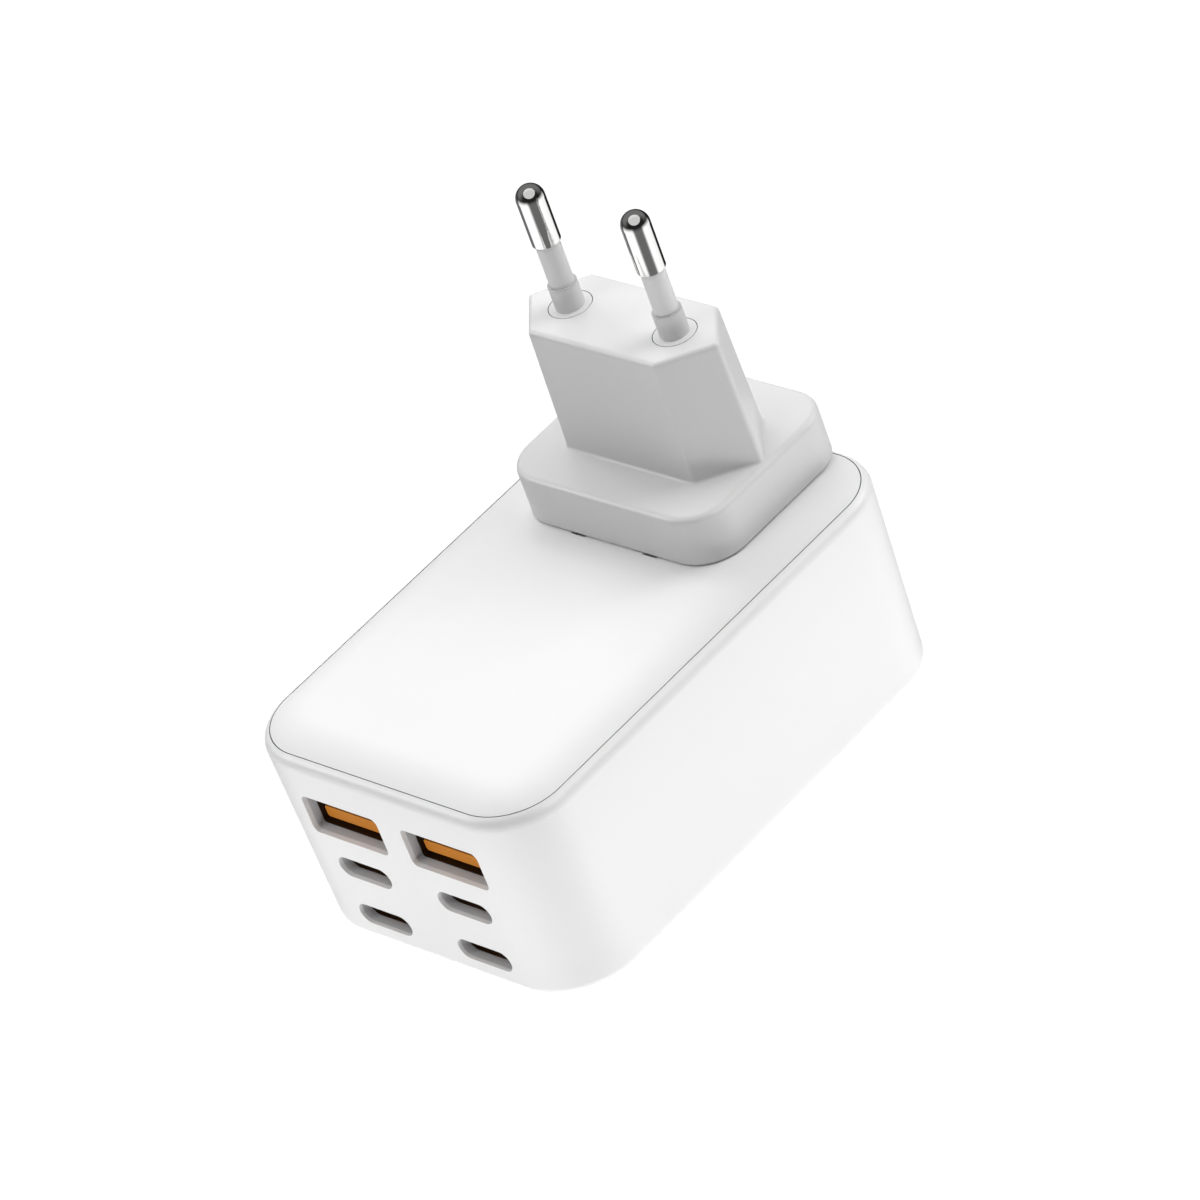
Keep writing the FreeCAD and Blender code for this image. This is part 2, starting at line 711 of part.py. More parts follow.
def bridge_rectifier():
    """Flat block with one cut corner that marks its polarity."""
    block = box(bridge_size, bridge_x, bridge_y, board_top)
    top = board_top + bridge_size[2]
    corner = edges_where(block, lambda p: abs(p.z - top) < 1e-4 and p.x > bridge_x)
    return block.makeChamfer(bridge_size[1] / 2, corner)


def choke_core():
    """Ferrite ring."""
    inner, outer = choke_core_radii
    low = board_top + choke_wire
    return disc(outer, choke_core_height, choke_x, choke_y, low).cut(
        disc(inner, choke_core_height, choke_x, choke_y, low))


def choke_winding(sign):
    """Wire wrapped round one half of the ring."""
    inner = choke_core_radii[0] - choke_wire
    height = choke_core_height + 2 * choke_wire
    corners = ((inner, 0), (choke_radius, 0), (choke_radius, height), (inner, height), (inner, 0))
    section = Part.makePolygon([Vector(choke_x + r, choke_y, board_top + z) for r, z in corners])
    axis = Vector(choke_x, choke_y, 0)
    wrap = Part.Face(section).revolve(axis, up(1), choke_wrap)
    wrap.rotate(axis, up(1), 90 - 90 * sign - choke_wrap / 2)
    return wrap.cut(choke_core())


def fuse():
    """Small cartridge fuse lying across the board."""
    z = board_top + fuse_cap_radius
    across = Vector(1, 0, 0)
    body = Part.makeCylinder(fuse_radius, fuse_length, Vector(left_edge, fuse_y, z), across)
    caps = [Part.makeCylinder(fuse_cap_radius, fuse_cap, Vector(start, fuse_y, z), across)
            for start in (left_edge, left_edge + fuse_length - fuse_cap)]
    return body.fuse(caps).removeSplitter()


def heat_spreader():
    """Aluminium plate standing beside the transformer, as far back as the transistor."""
    y = bridge_y + (transistor_size[1] - spreader_size[1]) / 2
    return box(spreader_size, spreader_x, y, board_top)


def power_transistor():
    """Switching transistor pressed flat against the heat spreader."""
    return box(transistor_size, transistor_x, bridge_y, board_top)


def controller_chip():
    width, length, thick = chip_size
    return box((length, width, thick), controller_x, bridge_y, board_top)


def output_inductor():
    """Moulded power inductor."""
    width, length, height = inductor_size
    plane = flat(board_top, output_y - output_radius + length / 2, inductor_x)
    return prism(rounded_outline(plane, width, length, inductor_round), up(height))


def main():
    os.makedirs("parts", exist_ok=True)
    save("housing", housing())
    save("cover", cover())
    save("adapter_shell", adapter_shell())
    save("adapter_base_plate", adapter_base_plate())
    save("pin_carrier", pin_carrier())
    pair_makers = {"dock_contact": dock_contact, "dock_wire": dock_wire, "pin": pin,
                   "pin_sleeve": pin_sleeve, "pin_insert": pin_insert,
                   "adapter_contact": adapter_contact, "choke_winding": choke_winding}
    for name, make in pair_makers.items():
        for side, sign in sides.items():
            save(name + "_" + side, make(sign))
    a_ports, c_ports = port_places()
    for side, x, z in a_ports:
        tongue_z = usb_a_tongue_z(z)
        insulator = port_insulator(x, z, usb_a_inside, usb_a_mouth, usb_a_tongue, tongue_z, tongue_setback_a)
        save("usb_a_shell_" + side, port_shell(x, z, usb_a_inside))
        save("usb_a_tongue_" + side, insulator)
        save("usb_a_contacts_" + side, usb_a_contacts(x, z))
    for corner, x, z in c_ports:
        insulator = port_insulator(x, z, usb_c_inside, usb_c_throat, usb_c_tongue, z, tongue_setback_c)
        save("usb_c_shell_" + corner, port_shell(x, z, usb_c_inside))
        save("usb_c_tongue_" + corner, insulator)
    save("port_board", port_board())
    row_makers = {"port_chip": port_chips, "bulk_capacitor": bulk_capacitors,
                  "output_capacitor": output_capacitors}
    for name, make in row_makers.items():
        for index, shape in enumerate(make(), 1):
            save(name + "_" + str(index), shape)
    single_makers = (main_board, insulation_sheet, transformer_core, transformer_winding, x_capacitor,
                     y_capacitor, bridge_rectifier, choke_core, fuse, heat_spreader, power_transistor,
                     controller_chip, output_inductor)
    for make in single_makers:
        save(make.__name__, make())


main()
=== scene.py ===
# %% [markdown]
# # A six-port wall charger with a slide-on plug adapter
# The rigid shapes come from the imported solids, which stay exactly as they are.
# This lesson dresses them: it sets up the studio, gives every piece the finish of its
# real material, paints shade into the seams and the deep port mouths, and adds the small contacts
# that the solids leave out.

# %% Load the fixed frame
import math

import bpy
import numpy as np
from mathutils import Matrix, Vector


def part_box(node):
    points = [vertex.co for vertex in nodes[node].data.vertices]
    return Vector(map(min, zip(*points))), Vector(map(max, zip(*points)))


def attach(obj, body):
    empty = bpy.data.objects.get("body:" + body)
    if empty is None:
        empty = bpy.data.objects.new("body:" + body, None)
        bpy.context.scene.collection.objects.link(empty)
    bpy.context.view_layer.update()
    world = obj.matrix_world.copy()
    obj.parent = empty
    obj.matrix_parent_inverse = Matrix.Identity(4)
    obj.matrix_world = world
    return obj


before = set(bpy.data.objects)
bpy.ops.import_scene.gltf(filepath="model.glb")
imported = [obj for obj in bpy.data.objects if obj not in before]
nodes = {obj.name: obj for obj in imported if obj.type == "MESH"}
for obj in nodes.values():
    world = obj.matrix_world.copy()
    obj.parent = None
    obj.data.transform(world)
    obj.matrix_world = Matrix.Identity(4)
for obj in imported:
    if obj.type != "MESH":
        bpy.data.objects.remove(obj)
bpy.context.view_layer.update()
MM = 0.001

# %% [markdown]
# ## A few small helpers
# Colours are written the way paint and plastic charts give them, as sRGB hex values.
# Shaders work with linear light, so one function turns the first into the second.
# Another adds a shader node, sets it up and links it, and every material uses it.
# The last one puts points and faces that numpy has worked out into a new object.

# %% Helpers for colours, nodes and surfaces
def linear(hex_code, alpha=1.0):
    """Linear RGBA of an sRGB hex value: the standard curve, channel by channel."""
    share = np.array([int(hex_code[i:i + 2], 16) for i in (1, 3, 5)]) / 255
    low, high = share / 12.92, ((share + 0.055) / 1.055) ** 2.4
    return (*np.where(share <= 0.04045, low, high).tolist(), alpha)


def add(tree, kind, inputs=None, **settings):
    """Adds a node, sets its properties, then fills its sockets with values or with other sockets."""
    made = tree.nodes.new(kind)
    for name, value in settings.items():
        setattr(made, name, value)
    for name, value in (inputs or {}).items():
        if isinstance(value, bpy.types.NodeSocket):
            tree.links.new(value, made.inputs[name])
        else:
            made.inputs[name].default_value = value
    return made


def fresh(name):
    """A new material with only its surface shader and output, and the tree to build in."""
    material = bpy.data.materials.new(name)
    material.use_nodes = True
    tree = material.node_tree
    tree.nodes.clear()
    shader = add(tree, "ShaderNodeBsdfPrincipled")
    add(tree, "ShaderNodeOutputMaterial", {"Surface": shader.outputs["BSDF"]})
    return material, tree, shader


def per_size(size_mm):
    """Texture scale, in cells per metre, for a pattern whose cells measure size_mm."""
    return 1 / (size_mm * MM)


def surface(name, points_mm, faces):
    """A mesh object from an array of points in millimetres and the faces between them."""
    mesh = bpy.data.meshes.new(name)
    mesh.from_pydata((points_mm.reshape(-1, 3) * MM).tolist(), [], faces)
    made = bpy.data.objects.new(name, mesh)
    bpy.context.scene.collection.objects.link(made)
    return made


print("white plastic in linear light", [round(c, 3) for c in linear("#f1f1f1")])

# %% [markdown]
# ## The camera
# A long lens was used, so the edges hardly converge. The place, direction and focal length
# below were solved from the straight edges and the pins that the picture shows.
# The camera is rolled, which makes the block lie at a slant in the frame.

# %% Camera
SENSOR_MM = 36.0
FOCAL_PX, FRAME_PX = 6805.67, 1200
CAMERA_MM = (591.958, -430.857, 540.573)
RIGHT = np.array([0.718761, 0.630689, -0.292599])
DOWN = np.array([0.219016, -0.604815, -0.765657])
FORWARD = np.array([-0.659860, 0.486240, -0.572848])

camera_data = bpy.data.cameras.new("studio_camera")
camera_data.sensor_width = SENSOR_MM
camera_data.lens = FOCAL_PX / FRAME_PX * SENSOR_MM
camera_data.clip_start, camera_data.clip_end = 10.0 * MM, 50000.0 * MM
camera = bpy.data.objects.new("studio_camera", camera_data)
bpy.context.scene.collection.objects.link(camera)
pose = np.eye(4)
pose[:3, 0], pose[:3, 1], pose[:3, 2] = RIGHT, -DOWN, -FORWARD
pose[:3, 3] = np.array(CAMERA_MM) * MM
camera.matrix_world = Matrix(pose.tolist())
bpy.context.scene.camera = camera
print("lens", round(camera_data.lens, 2), "mm, distance", round(float(np.linalg.norm(CAMERA_MM)), 1), "mm")

# %% [markdown]
# ## The floor
# The charger lies on a sheet of backlit white acrylic, so the ground is evenly white and
# carries no hard shadow. A glowing plane does that: what the camera sees is the light of
# the sheet itself. The matt table just below it throws light back, and a round light panel
# in it, brighter towards its rim, shines up at the sides of the block but hardly reaches the
# plug. Its arc before the ports and the right side is the stronger one, because the
# lamps stand behind and on the left. All of them belong to the studio, not to the charger.

# %% Shapes on the ground
FLOOR_MM, FLOOR_GLOW = 12000.0, 1.05
FLOOR_Z_MM, PANEL_Z_MM, TABLE_Z_MM = -0.02, -0.04, -0.05
TABLE_PAPER = "#e8e8e8"
PANEL = (  # name, inner and outer radius in mm, strength
    ("panel_middle", 1.0, 75.0, 0.948),
    ("panel_rim", 75.0, 110.0, 2.04),
)
ARCS = (  # name, start and end in degrees from +X, share of the strength
    ("_front_right", -135.0, 56.0, 1.0),
    ("_rear_left", 56.0, 225.0, 0.08),
)


def plane(name, half_mm, z_mm):
    """A square in the ground plane: a two by two grid of corners at one height."""
    u, v = np.meshgrid([-1.0, 1.0], [-1.0, 1.0])
    corners = np.stack([u * half_mm, v * half_mm, np.full_like(u, z_mm)], -1)
    return surface(name, corners, [(0, 1, 3, 2)])


def arc(name, inner_mm, outer_mm, z_mm, start, end, steps=33):
    """Flat part of a ring: angle and radius on a grid, two radii at each angle from start to end."""
    turns = np.radians(np.linspace(start, end, steps))
    angle, radius = np.meshgrid(turns, [inner_mm, outer_mm])
    points = np.stack([np.cos(angle) * radius, np.sin(angle) * radius, np.full_like(angle, z_mm)], -1)
    near, far = np.arange(2 * steps).reshape(2, steps)
    quads = np.stack([near[:-1], far[:-1], far[1:], near[1:]], -1)
    return surface(name, points, quads.tolist())


floor = plane("floor", FLOOR_MM / 2, FLOOR_Z_MM)
table = plane("table", FLOOR_MM / 2, TABLE_Z_MM)
print("floor and table", FLOOR_MM, "mm square")


# %% Floor and light panel
def glow(name, strength, paper_hex):
    """Material that gives off an even white light and also scatters what falls on it."""
    material, tree, shader = fresh(name)
    shader.inputs["Base Color"].default_value = linear(paper_hex)
    shader.inputs["Roughness"].default_value = 1.0
    shader.inputs["Specular IOR Level"].default_value = 0.0
    shader.inputs["Emission Color"].default_value = linear("#ffffff")
    shader.inputs["Emission Strength"].default_value = strength
    return material


def studio_piece(made, *, seen):
    """Part of the studio: what is seen throws no light on the charger, what throws light isn't seen."""
    made.visible_camera = seen
    made.visible_diffuse = made.visible_shadow = made.visible_transmission = not seen
    made.visible_glossy = False


floor.data.materials.append(glow("backlit_acrylic", FLOOR_GLOW, "#000000"))
studio_piece(floor, seen=True)
table.data.materials.append(glow("matt_table", 0.0, TABLE_PAPER))
studio_piece(table, seen=False)
for name, inner_mm, outer_mm, strength in PANEL:
    for side, start, end, share in ARCS:
        made = arc(name + side, inner_mm, outer_mm, PANEL_Z_MM, start, end)
        made.data.materials.append(glow(name + side, strength * share, TABLE_PAPER))
        studio_piece(made, seen=False)
print("floor glows", FLOOR_GLOW, "panel of", len(PANEL) * len(ARCS), "arcs")

# %% [markdown]
# ## The light
# A product table is lit by large soft lamps. Each is a square area lamp that looks at the
# middle of the charger, and its strength was matched to the brightness of the faces.
# The lamps are left out of mirror reflections: what the bright pins show is the
# surround, which has two white strips beside the camera and a round white lamp overhead.
# Three small round lamps do the opposite. They are seen only in the sheen of the white
# plastics, where they draw the soft bright lines along the rounded edges.

# %% Lamps
AIM_MM = np.array([0.0, 4.0, 26.0])
LAMP_AWAY_MM, LAMP_WIDE_MM, SHEEN_WIDE_MM = 700.0, 350.0, 220.0
LAMPS = (  # name, azimuth, elevation, watts
    ("lamp_front_high", 0.0, 70.0, 0.99),
    ("lamp_right", 60.0, 50.0, 0.19),
    ("lamp_rear_right_side", 120.0, 50.0, 0.44),
    ("lamp_rear_right", 150.0, 28.0, 0.69),
    ("lamp_rear_right_high", 150.0, 50.0, 1.09),
    ("lamp_rear_low", 180.0, 6.0, 0.41),
    ("lamp_rear_left", 210.0, 50.0, 0.94),
    ("lamp_left_rear", 240.0, 50.0, 1.12),
    ("lamp_left", 270.0, 50.0, 1.05),
    ("lamp_front_left", 330.0, 50.0, 0.74),
)
SHEEN_LAMPS = (
    ("sheen_right", 100.0, 40.0, 3.44),
    ("sheen_rear_right", 150.0, 25.0, 2.9),
    ("sheen_front_left", 311.0, 29.0, 2.4),
)


def aside(azimuth, elevation):
    """Unit vector from the charger: azimuth 0 is in front of the ports, 90 is its right-hand side."""
    a, e = math.radians(azimuth), math.radians(elevation)
    return np.array([math.sin(a) * math.cos(e), -math.cos(a) * math.cos(e), math.sin(e)])


def lamp(name, azimuth, elevation, watts, shape="SQUARE", wide_mm=LAMP_WIDE_MM):
    """Area lamp that faces the aim point."""
    data = bpy.data.lights.new(name, "AREA")
    data.shape, data.size, data.energy = shape, wide_mm * MM, watts
    made = bpy.data.objects.new(name, data)
    bpy.context.scene.collection.objects.link(made)
    towards = Vector(aside(azimuth, elevation))
    made.location = Vector(AIM_MM * MM) + towards * LAMP_AWAY_MM * MM
    made.rotation_mode = "QUATERNION"
    made.rotation_quaternion = towards.to_track_quat("Z", "Y")
    made.visible_camera = made.visible_glossy = False
    return made


lamps = [lamp(*row) for row in LAMPS]
plastics = bpy.data.collections.new("white_plastics")
for stem in ("housing", "cover", "adapter_shell", "pin_insert", "pin_sleeve"):
    for name in nodes:
        if name.startswith(stem):
            plastics.objects.link(nodes[name])
sheens = [lamp(*row, shape="DISK", wide_mm=SHEEN_WIDE_MM) for row in SHEEN_LAMPS]
for made in sheens:
    made.visible_glossy, made.visible_diffuse = True, False
    made.light_linking.receiver_collection = plastics
print("lamps", [o.name for o in lamps], "sheen", [o.name for o in sheens])

# %% [markdown]
# ## What the bright metal mirrors
# Polished pins show their surroundings and hardly any colour of their own. Photographers
# build those surroundings from cards. Here one large shell round the table carries them:
# a white strip on either side of the camera, a round pale lamp overhead and grey between.
# Only mirror reflections see the shell, so it can be arranged without changing the light.

# %% Shell of reflections
SHELL_MM = 3000.0


def ball(name, radius_mm, around=48, rows=25):
    """Sphere: longitude and latitude on a grid give cos-cos, sin-cos and sin of the two angles."""
    turns = np.arange(around) * 2 * math.pi / around
    longitude, latitude = np.meshgrid(turns, np.linspace(-math.pi / 2, math.pi / 2, rows))
    level = np.cos(latitude)
    points = np.stack([np.cos(longitude) * level, np.sin(longitude) * level, np.sin(latitude)], -1)
    index = np.arange(around * rows).reshape(rows, around)
    beside = np.roll(index, -1, axis=1)
    quads = np.stack([index[:-1], index[1:], beside[1:], beside[:-1]], -1).reshape(-1, 4)
    return surface(name, points * radius_mm, quads.tolist())


shell = ball("reflection_shell", SHELL_MM)
shell.visible_camera = shell.visible_diffuse = shell.visible_shadow = shell.visible_transmission = False
print("shell radius", SHELL_MM, "mm")

# %% [markdown]
# The cards are one emission material. The direction from the middle of the shell tells which
# card a reflected ray meets: its height, how far it turns away from the camera and from the
# rear, and its angle to the overhead lamp. Each smooth step below is the soft edge of a card,
# and each card is lit where all of its edges overlap.

# %% Cards on the shell
STRIP_LIGHT, OVERHEAD_LIGHT, GREY_LOW, GREY_HIGH, GREY_BACK = 1.3, 0.8, 0.17, 0.02, 0.19
CAMERA_TURN, OVERHEAD_RISE, OVERHEAD_RIM = 54.0, 69.0, (43.0, 40.0)  # degrees
cards = bpy.data.materials.new("white_cards")
cards.use_nodes = True
sky = cards.node_tree
sky.nodes.clear()
towards = add(sky, "ShaderNodeTexCoord").outputs["Object"]
towards = add(sky, "ShaderNodeVectorMath", {0: towards}, operation="NORMALIZE").outputs["Vector"]
rise = add(sky, "ShaderNodeSeparateXYZ", {0: towards}).outputs["Z"]
level = add(sky, "ShaderNodeVectorMath", {0: towards, 1: (1, 1, 0)}, operation="MULTIPLY").outputs["Vector"]
level = add(sky, "ShaderNodeVectorMath", {0: level}, operation="NORMALIZE").outputs["Vector"]
cosines = {}
for name, direction, axis in (("camera", level, aside(CAMERA_TURN, 0.0)), ("rear", level, aside(180.0, 0.0)),
                              ("overhead", towards, aside(CAMERA_TURN, OVERHEAD_RISE))):
    pair = {0: direction, 1: axis.tolist()}
    cosines[name] = add(sky, "ShaderNodeVectorMath", pair, operation="DOT_PRODUCT").outputs["Value"]
edges = {}
rims = [math.cos(math.radians(angle)) for angle in OVERHEAD_RIM]
for name, value, start, end in (("overhead", cosines["overhead"], *rims), ("below", rise, 0.15, -0.45),
                                ("behind", cosines["camera"], -0.5, -0.3),
                                ("beside", cosines["camera"], 0.92, 0.68),
                                ("rear", cosines["rear"], 0.9, 0.5), ("above", rise, 0.0, 0.35),
                                ("away", cosines["camera"], 0.5, -0.5)):
    ends = {"Value": value, "From Min": start, "From Max": end}
    edges[name] = add(sky, "ShaderNodeMapRange", ends, interpolation_type="SMOOTHSTEP").outputs["Result"]
light = GREY_HIGH
for strength, names in ((GREY_LOW, ("below", "rear")), (STRIP_LIGHT, ("below", "behind", "beside")),
                        (OVERHEAD_LIGHT, ("overhead",)), (GREY_BACK, ("above", "away"))):
    share = edges[names[0]]
    for name in names[1:]:
        share = add(sky, "ShaderNodeMath", {0: share, 1: edges[name]}, operation="MULTIPLY").outputs[0]
    sum_up = {0: share, 1: strength, 2: light}
    light = add(sky, "ShaderNodeMath", sum_up, operation="MULTIPLY_ADD").outputs[0]
glowing = add(sky, "ShaderNodeEmission", {"Strength": light}).outputs[0]
add(sky, "ShaderNodeOutputMaterial", {"Surface": glowing})
shell.data.materials.append(cards)
print("strips", STRIP_LIGHT, "overhead", OVERHEAD_LIGHT, "greys", GREY_LOW, GREY_HIGH, GREY_BACK)

# %% [markdown]
# ## Backdrop and room
# From low down the camera looks past the floor. A second ball of the floor's white carries
# the ground on behind it without a horizon. The room itself adds a trace of even light,
# and the plain colour transform keeps the whites as bright as they were measured.

# %% White backdrop
BACKDROP_MM = 2900.0
backdrop = ball("backdrop", BACKDROP_MM)
backdrop.data.materials.append(floor.data.materials[0])
studio_piece(backdrop, seen=True)
print("backdrop radius", BACKDROP_MM, "mm")

# %% Even light of the room
ROOM_LIGHT = 0.01
room = bpy.data.worlds.new("white_room")
room.use_nodes = True
room.node_tree.nodes["Background"].inputs["Color"].default_value = linear("#ffffff")
room.node_tree.nodes["Background"].inputs["Strength"].default_value = ROOM_LIGHT
bpy.context.scene.world = room
bpy.context.scene.view_settings.view_transform = "Standard"
print("room light", ROOM_LIGHT)

# %% [markdown]
# ## The white mouldings
# The housing, its cover and the plug adapter are injection-moulded polycarbonate with a
# satin skin from a finely spark-eroded mould. The eye sees a broad soft sheen, a very
# faint change of tone along the flow of the melt, and no visible grain at arm's length.
# A sheen on a nearly matt surface does that; the erosion grain is really about 0.04 mm,
# and is drawn at 0.25 mm so that it just shows in a close view.
#
# The 0.1 mm seams round the cover and round the foot of each pin lie in shade. A dark cord of geometry
# could fill them, but the gap is really empty, so the shade is painted: the walls are grey instead,
# drawn a little wider than the gap so that they show as the thin lines of the real charger.
# The narrow step on top of each collar, where the sleeve goes in, gets a painted shadow line in the same
# way.

# %% Painted shade in the seams
SEAM_SHADE_WIDE_MM = 0.13
SEAM_MIDDLE_MM = 0.04  # from the inner wall; a little under half, because facets cut inside an arc


# Painted shade: the band that this gives is where the seams are coloured dark.
def near_seam(tree, place, wide_mm, centre_mm, half_mm, corner_mm, above_mm):
    """1 in a narrow band round an outline: length of max(||p| - centre| - (half - corner), 0) is corner."""
    apart = add(tree, "ShaderNodeVectorMath", {0: place, 1: (1, 1, 0)}, operation="MULTIPLY").outputs[0]
    for taken_mm in (centre_mm, [half - corner_mm for half in half_mm]):
        apart = add(tree, "ShaderNodeVectorMath", {0: apart}, operation="ABSOLUTE").outputs[0]
        taken = {0: apart, 1: (taken_mm[0] * MM, taken_mm[1] * MM, 0)}
        apart = add(tree, "ShaderNodeVectorMath", taken, operation="SUBTRACT").outputs[0]
    apart = add(tree, "ShaderNodeVectorMath", {0: apart, 1: (0, 0, 0)}, operation="MAXIMUM").outputs[0]
    reach = add(tree, "ShaderNodeVectorMath", {0: apart}, operation="LENGTH").outputs["Value"]
    band = {0: reach, 1: corner_mm * MM, 2: wide_mm / 2 * MM}
    band = add(tree, "ShaderNodeMath", band, operation="COMPARE").outputs[0]
    height = add(tree, "ShaderNodeSeparateXYZ", {0: place}).outputs["Z"]
    above = add(tree, "ShaderNodeMath", {0: height, 1: above_mm * MM}, operation="GREATER_THAN").outputs[0]
    return add(tree, "ShaderNodeMath", {0: band, 1: above}, operation="MULTIPLY").outputs[0]


print("seams drawn", SEAM_SHADE_WIDE_MM, "mm wide")

# %% Moulded plastic
FLOW_MM, GRAIN_MM = 22.0, 0.25
GLOSS_SWING = 0.04


def moulded(name, pale, deep, roughness, grain_depth_mm, flow_mm=FLOW_MM, grain_mm=GRAIN_MM, seam=None):
    """Moulded plastic: tone drifts between two colours with the flow, a fine grain lifts the skin, and a
    given seam gets painted shade.
    """
    material, tree, shader = fresh(name)
    place = add(tree, "ShaderNodeTexCoord").outputs["Object"]
    drift = {"Vector": place, "Scale": per_size(flow_mm), "Detail": 2.0}
    flow = add(tree, "ShaderNodeTexNoise", drift).outputs[0]
    shades = {0: flow, 6: linear(pale), 7: linear(deep)}
    tone = add(tree, "ShaderNodeMix", shades, data_type="RGBA").outputs[2]
    # painted shade: a band round the seam is mixed to a dark grey
    if seam:
        shaded = {0: near_seam(tree, place, *seam[1:]), 6: tone, 7: linear(seam[0])}
        tone = add(tree, "ShaderNodeMix", shaded, data_type="RGBA").outputs[2]
    pits = {"Vector": place, "Scale": per_size(grain_mm), "Detail": 1.0}
    grain = add(tree, "ShaderNodeTexNoise", pits).outputs[0]
    gloss = {"Value": grain, "To Min": roughness - GLOSS_SWING, "To Max": roughness + GLOSS_SWING}
    sheen = add(tree, "ShaderNodeMapRange", gloss).outputs["Result"]
    lift = add(tree, "ShaderNodeBump", {"Height": grain, "Distance": grain_depth_mm * MM, "Strength": 1.0})
    tree.links.new(tone, shader.inputs["Base Color"])
    tree.links.new(sheen, shader.inputs["Roughness"])
    tree.links.new(lift.outputs["Normal"], shader.inputs["Normal"])
    shader.inputs["IOR"].default_value = 1.5
    return material


def dress(material, *names):
    """Gives these CAD nodes one material in place of the plain one that they came with."""
    for name in names:
        nodes[name].data.materials.clear()
        nodes[name].data.materials.append(material)


def both(*stems):
    """Names of the left and right piece of each pair."""
    return [stem + side for stem in stems for side in ("_left", "_right")]


print("melt flow", FLOW_MM, "mm, grain", GRAIN_MM, "mm")

# %% White plastics
COVER_CORNER_MM, INSERT_RADIUS_MM, COLLAR_RADIUS_MM, SLEEVE_RADIUS_MM = 8.675, 3.0, 2.05, 1.7
LEDGE_ABOVE_MM, FACE_ABOVE_MM, TOP_SKIN_MM = 28.0, 58.0, 0.02
cover_low, cover_high = (np.array(corner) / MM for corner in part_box("cover"))
insert_low, insert_high = (np.array(corner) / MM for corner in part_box("pin_insert_right"))
cover_half = (cover_high - cover_low)[:2] / 2 + SEAM_MIDDLE_MM
ring = INSERT_RADIUS_MM + SEAM_MIDDLE_MM
# painted shade: dark grey in the cover seam and round each pin's foot, a grey painted shadow on each
# collar's step
cover_seam_shade = ("#505050", SEAM_SHADE_WIDE_MM, (0, 0), cover_half.tolist(), COVER_CORNER_MM + SEAM_MIDDLE_MM,
              LEDGE_ABOVE_MM)
pin_axis = ((insert_low + insert_high) / 2)[:2].tolist()
pin_ring_shade = ("#6a6a6a", SEAM_SHADE_WIDE_MM, pin_axis, (ring, ring), ring, FACE_ABOVE_MM)
step = (COLLAR_RADIUS_MM + SLEEVE_RADIUS_MM) / 2
collar_step_shadow = ("#bcbcbc", COLLAR_RADIUS_MM - SLEEVE_RADIUS_MM, pin_axis, (step, step), step,
              insert_high[2] - TOP_SKIN_MM)
satin_white = moulded("satin_polycarbonate", "#f1f1f1", "#efefef", 0.45, 0.001, seam=cover_seam_shade)
# The adapter and the pin inserts have the housing's polycarbonate in a greyer white: partly painted shade,
# for the dimmer light that falls on the plug.
adapter_shaded_white = moulded("adapter_polycarbonate", "#e2e2e2", "#dfdfdf", 0.45, 0.001, seam=pin_ring_shade)
insert_shaded_white = moulded("insert_polycarbonate", "#e2e2e2", "#dfdfdf", 0.45, 0.001, seam=collar_step_shadow)
sleeve_white = moulded("sleeve_nylon", "#ebebeb", "#e7e7e7", 0.5, 0.001)
dress(satin_white, "housing", "cover")
dress(adapter_shaded_white, "adapter_shell", "adapter_base_plate", "pin_carrier")
dress(insert_shaded_white, *both("pin_insert"))
dress(sleeve_white, *both("pin_sleeve"))
print("white plastics", satin_white.name, adapter_shaded_white.name, insert_shaded_white.name, sleeve_white.name)

# %% [markdown]
# ## The metals
# The pins are brass with a bright nickel plate, polished until they mirror the studio.
# The contacts are brass. The connector shells are steel strip with a matt tin plate: it
# scatters most of the light, as a pale paint does, and mirrors little, so its metallic share
# is low. Rolling leaves faint streaks along the strip.

# %% Metals
STREAK_STRETCH, STREAK_GLOSS = 25.0, 0.2


def metal(name, pale, deep, roughness, streak_mm, streak_along, metallic=1.0):
    """Metal whose tone and gloss drift in streaks: noise that is stretched along the streaks."""
    material, tree, shader = fresh(name)
    place = add(tree, "ShaderNodeTexCoord").outputs["Object"]
    squeeze = [per_size(streak_mm) / (STREAK_STRETCH if axis in streak_along else 1.0) for axis in "XYZ"]
    streaked = add(tree, "ShaderNodeMapping", {"Vector": place, "Scale": squeeze}).outputs[0]
    streak = add(tree, "ShaderNodeTexNoise", {"Vector": streaked, "Scale": 1.0, "Detail": 2.0}).outputs[0]
    shades = {0: streak, 6: linear(pale), 7: linear(deep)}
    tone = add(tree, "ShaderNodeMix", shades, data_type="RGBA").outputs[2]
    low, high = roughness * (1 - STREAK_GLOSS), roughness * (1 + STREAK_GLOSS)
    gloss = {"Value": streak, "To Min": low, "To Max": high}
    tree.links.new(tone, shader.inputs["Base Color"])
    tree.links.new(add(tree, "ShaderNodeMapRange", gloss).outputs["Result"], shader.inputs["Roughness"])
    shader.inputs["Metallic"].default_value = metallic
    return material


nickel = metal("bright_nickel_plate", "#dededd", "#d6d6d5", 0.06, 0.3, "XY")
brass = metal("contact_brass", "#d9b56c", "#c9a25a", 0.25, 0.2, "Y")
tinned = metal("matt_tin_plate", "#d5d7da", "#ced0d3", 0.6, 0.2, "Y", metallic=0.1)
rolled = metal("rolled_aluminium", "#c9cacb", "#bbbcbd", 0.35, 0.3, "Y")
SHELLS = ["usb_a_shell", "usb_c_shell_upper", "usb_c_shell_lower"]
TONGUES = ["usb_a_tongue", "usb_c_tongue_upper", "usb_c_tongue_lower"]
dress(nickel, *both("pin"))
dress(brass, *both("dock_contact", "adapter_contact", "usb_a_contacts"))
dress(tinned, *both(*SHELLS))
dress(rolled, "heat_spreader")
print("metals", nickel.name, brass.name, tinned.name, rolled.name)
